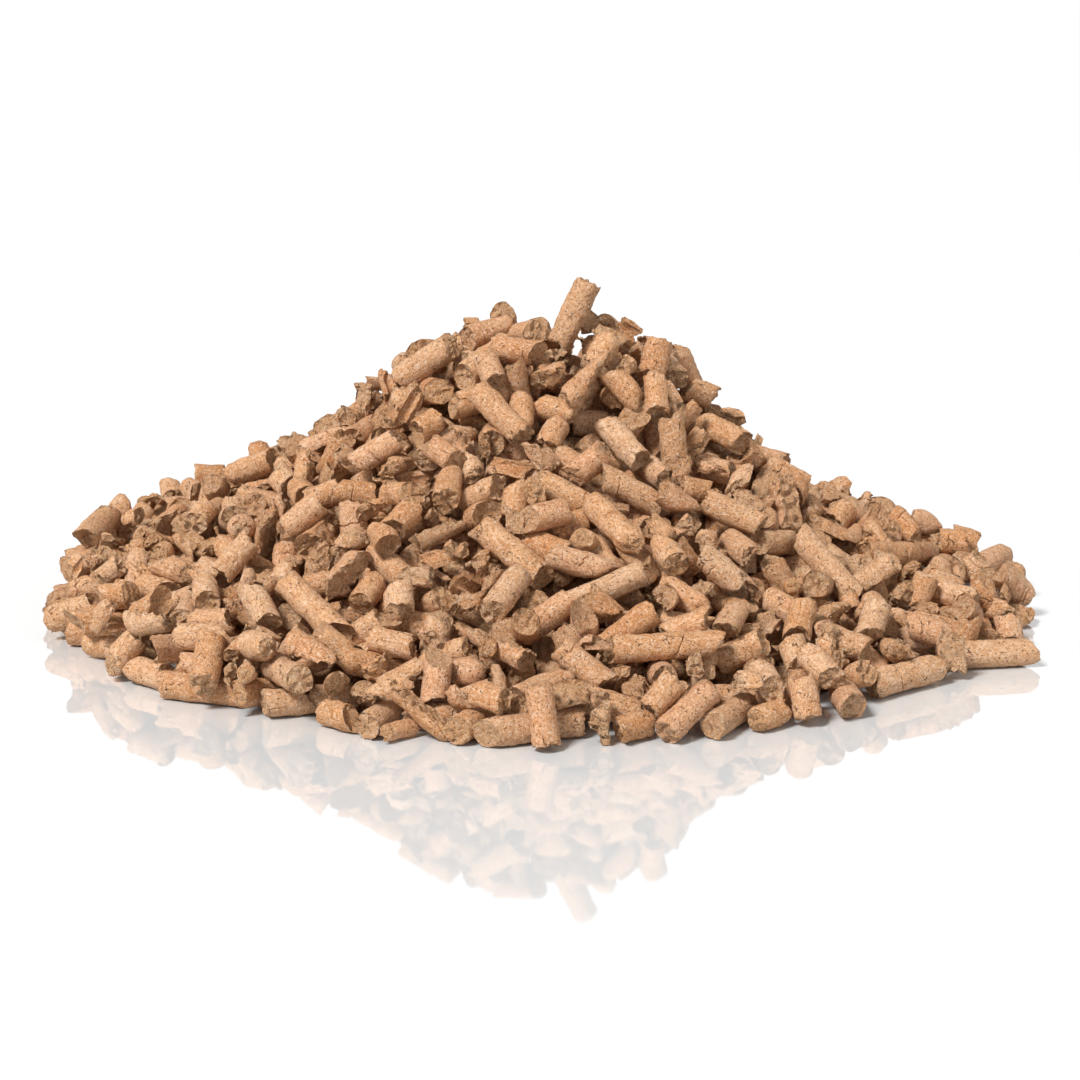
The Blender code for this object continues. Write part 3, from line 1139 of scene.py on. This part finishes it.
def studio_world():
    """White round the horizon, and dimmer overhead, so that the light has a direction."""
    world = bpy.data.worlds.new("studio")
    world.use_nodes = True
    nodes = world.node_tree.nodes
    links = world.node_tree.links
    parts = nodes.new("ShaderNodeSeparateXYZ")
    links.new(nodes.new("ShaderNodeTexCoord").outputs["Generated"], parts.inputs[0])
    fade = nodes.new("ShaderNodeMapRange")
    fade.inputs["From Min"].default_value = SKY_FADE[0]
    fade.inputs["From Max"].default_value = SKY_FADE[1]
    fade.inputs["To Min"].default_value = 1.0
    fade.inputs["To Max"].default_value = SKY_OVERHEAD
    links.new(parts.outputs["Z"], fade.inputs["Value"])
    back = nodes["Background"]
    back.inputs["Color"].default_value = (1.0, 1.0, 1.0, 1.0)
    links.new(fade.outputs["Result"], back.inputs["Strength"])
    return world


def make_floor():
    """A plain pale floor far larger than the heap."""
    mesh = bpy.data.meshes.new("floor")
    half = FLOOR_HALF
    corners = [(-half, -half, 0), (half, -half, 0), (half, half, 0), (-half, half, 0)]
    mesh.from_pydata(corners, [], [(0, 1, 2, 3)])
    mesh.materials.append(floor_material())
    linked_object("floor", mesh)


def make_studio():
    """The camera, the lights, the surroundings and the floor."""
    scene = bpy.context.scene
    make_camera()
    for name, settings in LIGHTS.items():
        add_light(name, *settings)
    scene.world = studio_world()
    scene.view_settings.view_transform = "Standard"
    make_floor()


# The pieces.


def stand_for(made, node):
    """Hides the CAD node that a piece stands in for, and puts the piece on the root body that it rides
    on.
    """
    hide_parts(node)
    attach(made, "root")


def sectors_of(pellets):
    """The heap's pellets in equal slices, as seen from above."""
    sectors = [[] for _ in range(SECTORS)]
    for pellet in pellets:
        middle = pellet.place.translation
        turn = (math.atan2(middle.y, middle.x) / TAU + 1.0) % 1.0
        sectors[int(turn * SECTORS)].append(pellet)
    return sectors


def main():
    """Builds the pieces, in the order that the random draws need, and then the studio."""
    rng = random.Random(SEED)
    rim = [rim_pellet(rng, node) for node in RIM_NODES]
    standing = standing_pellet(rng)
    peak = peak_pellet(rng)
    target, _ = tree_of([(frame["nodes"][HEAP_NODE].data, Matrix.Identity(4))])
    core = core_mesh(target)
    heap = pour_heap(rng, [*rim, standing], target, core)
    heap = [pellet for pellet in heap if clear_of(pellet, peak)] + [standing, peak]
    rate_views(rim + heap)
    wood = wood_material()
    for node, pellet in zip(RIM_NODES, rim):
        pellet.detail = NEAR if pellet.detail is NEAR else SEEN
        stand_for(pellets_object(node.replace("pellet", "litter"), [pellet], wood), node)
    for number, pellets in enumerate(sectors_of(heap), 1):
        stand_for(pellets_object(f"heap_sector_{number:02d}", pellets, wood), HEAP_NODE)
    core.materials.append(wood)
    stand_for(linked_object("heap_core", core), HEAP_NODE)
    make_studio()


main()
